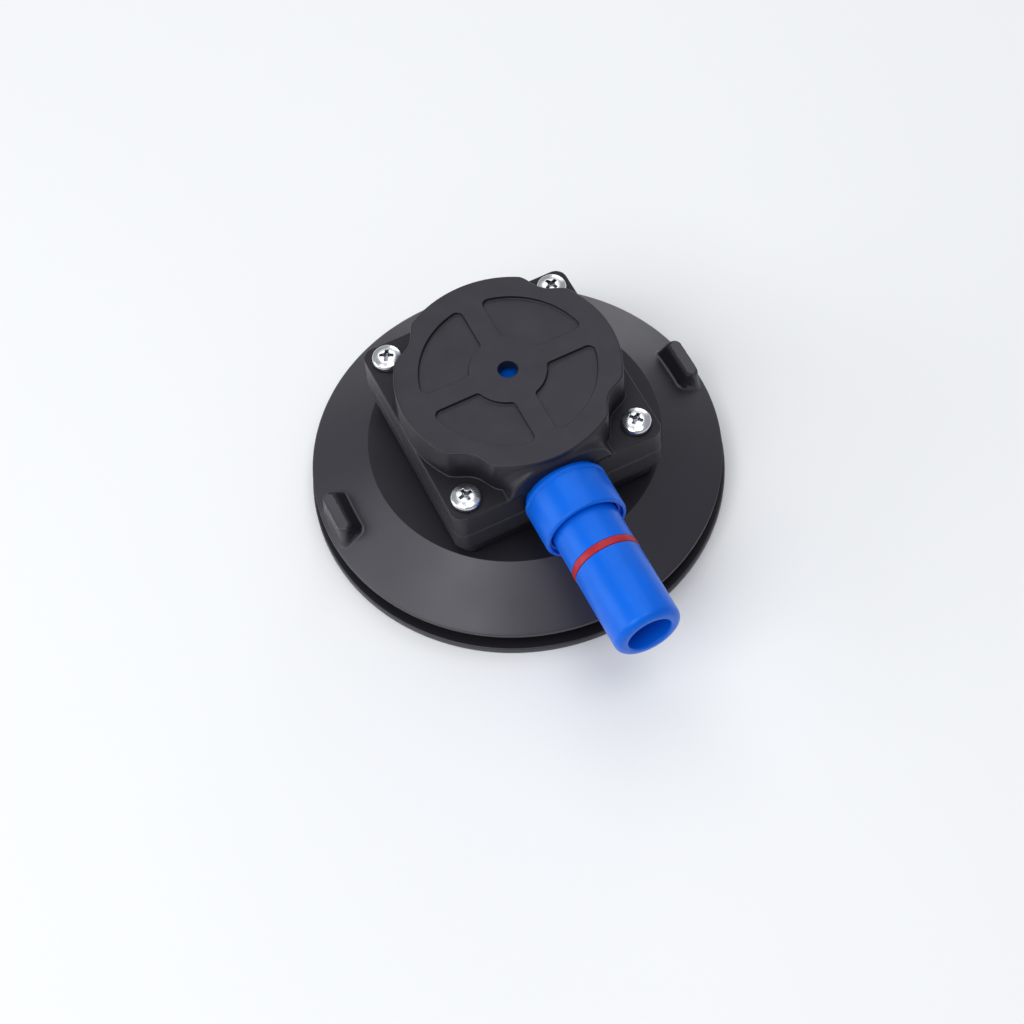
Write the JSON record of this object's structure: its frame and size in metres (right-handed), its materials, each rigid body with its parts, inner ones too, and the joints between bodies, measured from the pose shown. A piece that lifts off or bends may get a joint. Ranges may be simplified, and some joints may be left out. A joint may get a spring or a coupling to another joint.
{
  "type": "vacuum suction cup",
  "caption": "Round rubber vacuum pad with release tabs, a screwed-on housing with a round turret, and a spring-return plunger pump lying in the housing.",
  "frame": {"origin": "middle of the pad, on the face of the port screen, half a millimetre above the plane the lip seals on", "axes": "+Z away from the gripped surface towards the turret's top; -Y along the pump, out of its thumb end; +X to the side, one release tab on each side"},
  "size_m": [0.1142, 0.1357, 0.0497],
  "materials": {
    "pad_rubber": "matt black moulded rubber",
    "seal_rubber": "satin black rubber",
    "black_nylon": "fine-textured black glass-filled nylon",
    "zinc_steel": "bright zinc plate",
    "brass": "plain turned brass",
    "plain_steel": "plain steel",
    "spring_steel": "drawn spring wire",
    "blue_acetal": "satin blue plastic",
    "red_plastic": "red plastic",
    "white_felt": "white felt",
    "natural_acetal": "natural plastic"
  },
  "bodies": {
    "cup": {"vacuum_pad": "pad_rubber", "backing_plate": "plain_steel", "threaded_insert_1": "brass", "threaded_insert_2": "brass", "threaded_insert_3": "brass", "threaded_insert_4": "brass", "filter_screen": "plain_steel", "filter_disc": "white_felt", "port_tube": "brass", "valve_body": "natural_acetal", "valve_cover": "natural_acetal", "port_o_ring": "seal_rubber", "housing": "black_nylon", "screw_1": "zinc_steel", "screw_2": "zinc_steel", "screw_3": "zinc_steel", "screw_4": "zinc_steel", "pump_barrel": "blue_acetal", "barrel_collar": "blue_acetal", "rod_wiper": "seal_rubber", "plunger_spring": "spring_steel"},
    "plunger": {"plunger": "blue_acetal", "indicator_ring": "red_plastic", "piston_seal": "seal_rubber", "piston_retainer": "natural_acetal"},
    "valve": {"valve_disc": "seal_rubber"}
  },
  "joints": [
    {"name": "plunger_slide", "type": "slide", "parent": "cup", "child": "plunger", "axis": [0, 1, 0], "range_m": [0, 0.024], "stiffness_N_per_m": 600, "springref_m": -0.012, "deforming": ["plunger_spring"]},
    {"name": "valve_lift", "type": "slide", "parent": "cup", "child": "valve", "axis": [0, 0, 1], "range_m": [0, 0.0008]}
  ]
}
